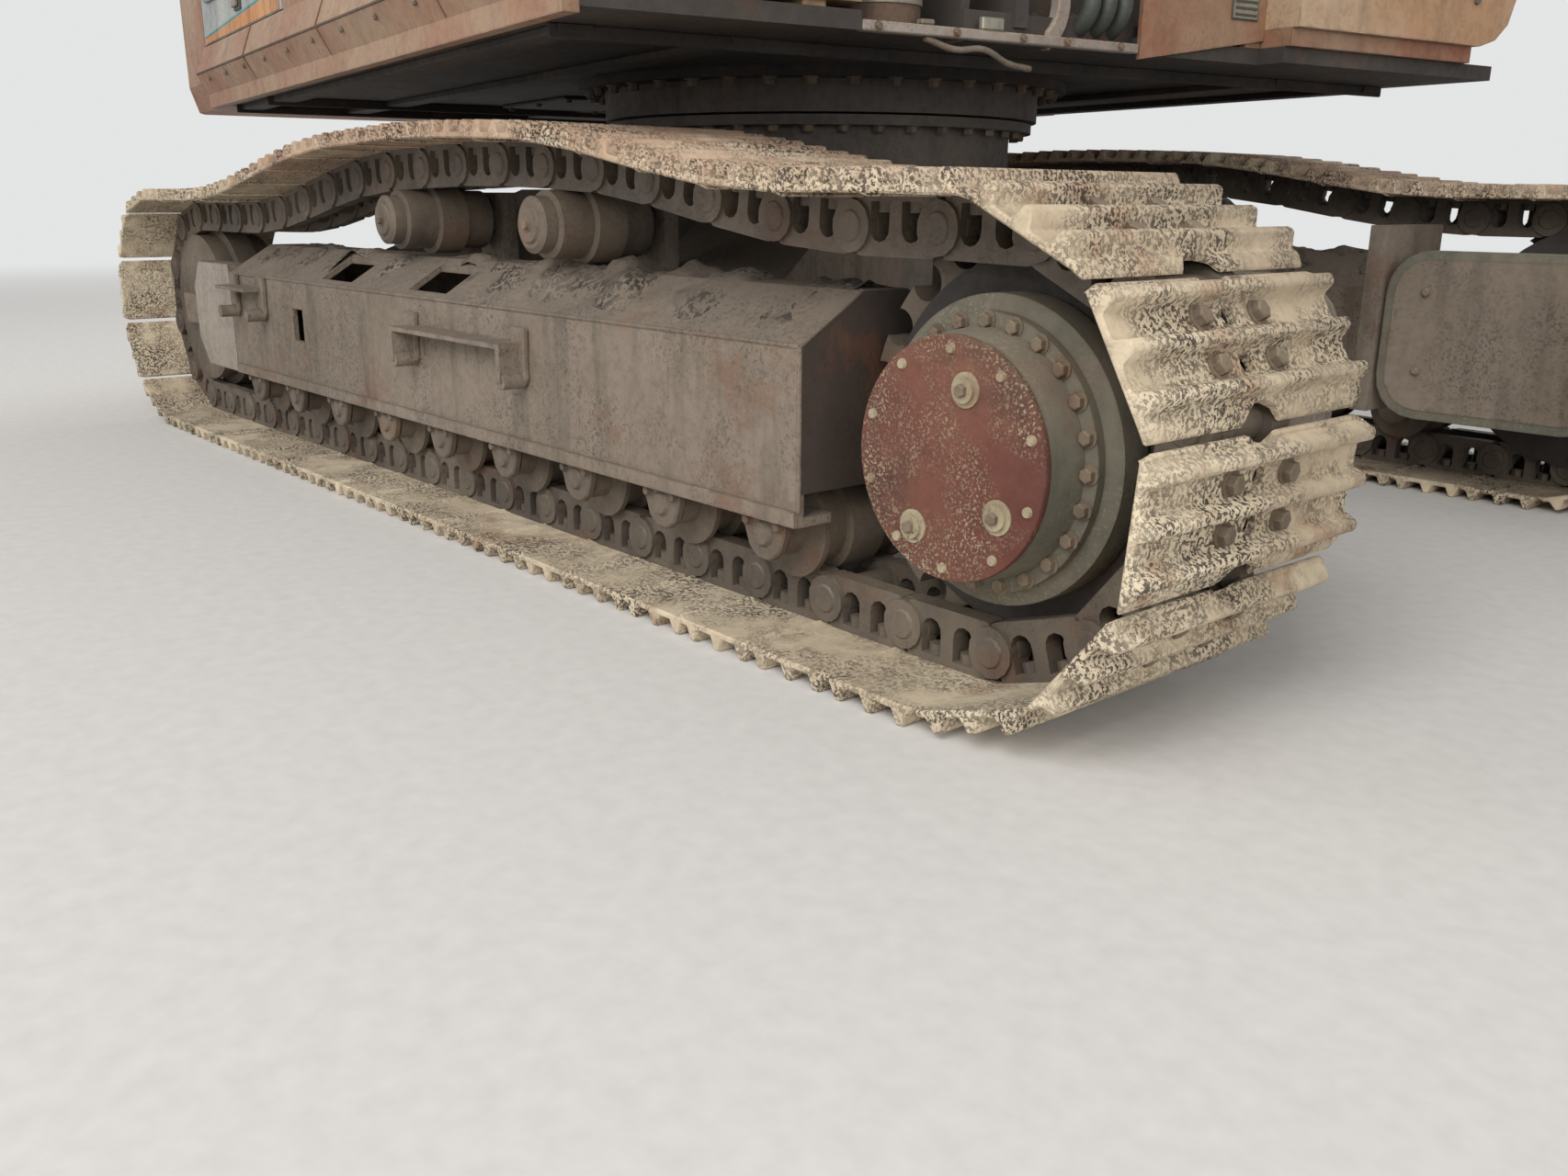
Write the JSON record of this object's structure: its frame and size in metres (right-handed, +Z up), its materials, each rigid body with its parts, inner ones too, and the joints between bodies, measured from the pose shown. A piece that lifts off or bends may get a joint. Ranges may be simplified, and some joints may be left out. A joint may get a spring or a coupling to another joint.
{
  "type": "crawler excavator",
  "caption": "Crawler excavator parked with its bucket on the ground, with a slewing cab, boom, arm and bucket, doors that open, and faded orange paint.",
  "frame": {"origin": "on the ground under the slewing axis", "axes": "+X to the front of the upper structure, +Y to its left, +Z up"},
  "size_m": [10.4347, 3.8549, 4.7576],
  "materials": {
    "frame_paint": "matt, dusty",
    "track_steel": "worn, dusty",
    "roller_steel": "greasy",
    "hub_paint": "matt, dusty",
    "cover_paint": "faded",
    "deck_paint": "matt",
    "body_paint": "faded satin",
    "engine_paint": "satin",
    "door_paint": "faded satin",
    "box_paint": "faded, streaked",
    "cab_paint": "faded, dusty",
    "window_glass": "clear",
    "seat_fabric": "matt",
    "rail_paint": "worn satin",
    "exhaust_steel": "rusted",
    "hose_rubber": "matt",
    "barrel_paint": "faded satin",
    "rod_chrome": "polished",
    "bucket_steel": "worn, rusted",
    "link_steel": "worn"
  },
  "bodies": {
    "undercarriage": {"car_body": "frame_paint", "legs": "frame_paint", "track_frame_right": "frame_paint", "track_frame_left": "frame_paint", "track_right": "track_steel", "track_left": "track_steel", "bottom_rollers": "roller_steel", "carrier_rollers": "roller_steel", "idlers": "roller_steel", "sprockets": "roller_steel", "final_drives": "hub_paint", "drive_covers": "cover_paint"},
    "upper": {"slew_bearing": "frame_paint", "deck": "deck_paint", "side_skirts": "body_paint", "counterweight": "body_paint", "engine_bay": "body_paint", "engine": "engine_paint", "fuel_tank": "body_paint", "hydraulic_tank": "body_paint", "tool_box": "box_paint", "cab_base": "cab_paint", "cab": "cab_paint", "cab_glass": "window_glass", "seat": "seat_fabric", "handrails": "rail_paint", "exhaust": "exhaust_steel", "front_hoses": "hose_rubber"},
    "hood": {"hood": "body_paint"},
    "pump_door": {"pump_door": "door_paint"},
    "cooler_door": {"cooler_door": "door_paint"},
    "tool_box_lid": {"tool_box_lid": "box_paint"},
    "cab_door": {"cab_door": "cab_paint"},
    "boom": {"boom": "body_paint"},
    "boom_barrels": {"boom_barrels": "barrel_paint"},
    "boom_rods": {"boom_rods": "rod_chrome"},
    "arm": {"arm": "body_paint"},
    "arm_barrel": {"arm_barrel": "barrel_paint"},
    "arm_rod": {"arm_rod": "rod_chrome"},
    "bucket": {"bucket": "bucket_steel"},
    "bucket_barrel": {"bucket_barrel": "barrel_paint"},
    "bucket_rod": {"bucket_rod": "rod_chrome"},
    "rocker": {"rocker": "link_steel"},
    "push_link": {"push_link": "link_steel"}
  },
  "joints": [
    {"name": "swing", "type": "hinge", "parent": "undercarriage", "child": "upper", "pos_m": [0, 0, 1.1], "axis": [0, 0, 1], "continuous": true},
    {"name": "hood_hinge", "type": "hinge", "parent": "upper", "child": "hood", "pos_m": [-2.185, 0, 2.156], "axis": [0, -1, 0], "range_deg": [0, 60]},
    {"name": "pump_door_hinge", "type": "hinge", "parent": "upper", "child": "pump_door", "pos_m": [-0.865, -1.511, 1.769], "axis": [0, 0, 1], "range_deg": [0, 110]},
    {"name": "cooler_door_hinge", "type": "hinge", "parent": "upper", "child": "cooler_door", "pos_m": [-2.19, 1.511, 1.769], "axis": [0, 0, 1], "range_deg": [0, 110]},
    {"name": "cab_door_hinge", "type": "hinge", "parent": "upper", "child": "cab_door", "pos_m": [-0.325, 1.496, 2.24], "axis": [0, 0, 1], "range_deg": [0, 165]},
    {"name": "lid_hinge", "type": "hinge", "parent": "upper", "child": "tool_box_lid", "pos_m": [1.045, -0.789, 1.777], "axis": [-1, 0, 0], "range_deg": [0, 90]},
    {"name": "boom_lift", "type": "hinge", "parent": "upper", "child": "boom", "pos_m": [0.2, 0, 2], "axis": [0, -1, 0], "range_deg": [-56, 42]},
    {"name": "arm_swing", "type": "hinge", "parent": "boom", "child": "arm", "pos_m": [6.38303, 0, 4.00502], "axis": [0, -1, 0], "range_deg": [-22, 85]},
    {"name": "bucket_tilt", "type": "hinge", "parent": "arm", "child": "bucket", "pos_m": [5.28857, 0, 0.998], "axis": [0, -1, 0], "range_deg": [-90, 75]},
    {"name": "boom_barrel_tilt", "type": "hinge", "parent": "upper", "child": "boom_barrels", "pos_m": [1.23, 0, 1.56], "axis": [0, -1, 0], "range_deg": [-68, 51]},
    {"name": "boom_rod_slide", "type": "slide", "parent": "boom_barrels", "child": "boom_rods", "axis": [0.5867, 0, 0.8098], "range_m": [-0.835, 0.625]},
    {"name": "arm_barrel_tilt", "type": "hinge", "parent": "boom", "child": "arm_barrel", "pos_m": [2.30693, 0, 4.41782], "axis": [0, -1, 0], "range_deg": [-1.3, 4.5]},
    {"name": "arm_rod_slide", "type": "slide", "parent": "arm_barrel", "child": "arm_rod", "axis": [0.9986, 0, 0.0524], "range_m": [-1.185, 0.31]},
    {"name": "bucket_barrel_tilt", "type": "hinge", "parent": "arm", "child": "bucket_barrel", "pos_m": [6.76561, 0, 3.41881], "axis": [0, -1, 0], "range_deg": [-3.4, 2.9]},
    {"name": "bucket_rod_slide", "type": "slide", "parent": "bucket_barrel", "child": "bucket_rod", "axis": [-0.2934, 0, -0.956], "range_m": [-0.5, 0.6]},
    {"name": "rocker_tilt", "type": "hinge", "parent": "arm", "child": "rocker", "pos_m": [5.51852, 0, 1.42511], "axis": [0, -1, 0], "range_deg": [-63, 52.5]},
    {"name": "push_link_tilt", "type": "hinge", "parent": "bucket", "child": "push_link", "pos_m": [5.63329, 0, 0.70875], "axis": [0, -1, 0], "range_deg": [-61, 73]}
  ],
  "couplings": [
    {"joint": "boom_barrel_tilt", "follows": "boom_lift", "ratio": 1.2105},
    {"joint": "boom_rod_slide", "follows": "boom_lift", "m_per_rad": 0.85},
    {"joint": "arm_barrel_tilt", "follows": "arm_swing", "ratio": 0.0497},
    {"joint": "arm_rod_slide", "follows": "arm_swing", "m_per_rad": -0.79606},
    {"joint": "bucket_barrel_tilt", "follows": "bucket_tilt", "ratio": 0.036413},
    {"joint": "bucket_rod_slide", "follows": "bucket_tilt", "m_per_rad": -0.37885},
    {"joint": "rocker_tilt", "follows": "bucket_tilt", "ratio": 0.69193},
    {"joint": "push_link_tilt", "follows": "bucket_tilt", "ratio": -0.80326}
  ]
}
